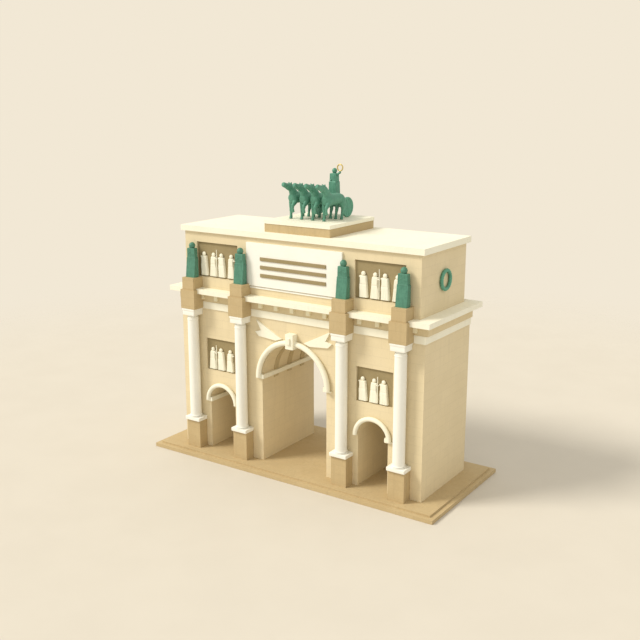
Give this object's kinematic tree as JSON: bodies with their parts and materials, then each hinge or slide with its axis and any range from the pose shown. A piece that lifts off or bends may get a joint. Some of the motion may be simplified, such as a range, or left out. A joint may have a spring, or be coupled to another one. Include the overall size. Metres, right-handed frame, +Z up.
{
  "type": "triumphal arch",
  "caption": "Monumental masonry arch with central and side passages, columns, relief panels, statues and a bronze chariot group on its attic.",
  "frame": {"origin": "centre of the footprint, at ground level under the lower step", "axes": "+X along the front from left to right as seen from the front, the front faces -Y, +Z up"},
  "size_m": [23.38, 9.78, 21.252],
  "materials": {
    "wall_stone": "honed limestone ashlar",
    "tan_stone": "honed tan limestone",
    "panel_stone": "fine-tooled brown limestone",
    "cream_stone": "rubbed cream limestone",
    "white_stone": "polished pale marble",
    "bronze": "cast bronze with green patina",
    "gold": "gilded bronze"
  },
  "bodies": {
    "root": {"lower_step": "tan_stone", "upper_step": "tan_stone", "pier_outer_left": "wall_stone", "pier_inner_left": "wall_stone", "pier_inner_right": "wall_stone", "pier_outer_right": "wall_stone", "side_arch_left": "wall_stone", "side_arch_right": "wall_stone", "central_arch": "wall_stone", "bay_wall_left": "wall_stone", "bay_wall_right": "wall_stone", "lower_relief_panels": "panel_stone", "lower_relief_figures": "cream_stone", "central_archivolts": "cream_stone", "side_archivolts": "cream_stone", "central_imposts": "cream_stone", "side_imposts": "cream_stone", "vault_ribs": "panel_stone", "keystones": "cream_stone", "spandrel_wings": "cream_stone", "column_pedestals": "tan_stone", "column_bases": "white_stone", "column_shafts": "white_stone", "capitals": "white_stone", "ressaut_blocks": "tan_stone", "statue_pedestals": "tan_stone", "statues": "bronze", "architrave": "cream_stone", "frieze": "panel_stone", "frieze_blocks": "cream_stone", "cornice": "cream_stone", "attic": "wall_stone", "attic_relief_panels": "panel_stone", "attic_relief_figures": "cream_stone", "inscription_panels": "white_stone", "inscription_bars": "panel_stone", "attic_cornice": "cream_stone", "wreaths": "bronze", "group_base": "wall_stone", "group_slab": "cream_stone", "horses": "bronze", "chariot": "bronze", "chariot_wheels": "bronze", "charioteer": "bronze", "gold_ring": "gold"}
  },
  "joints": []
}
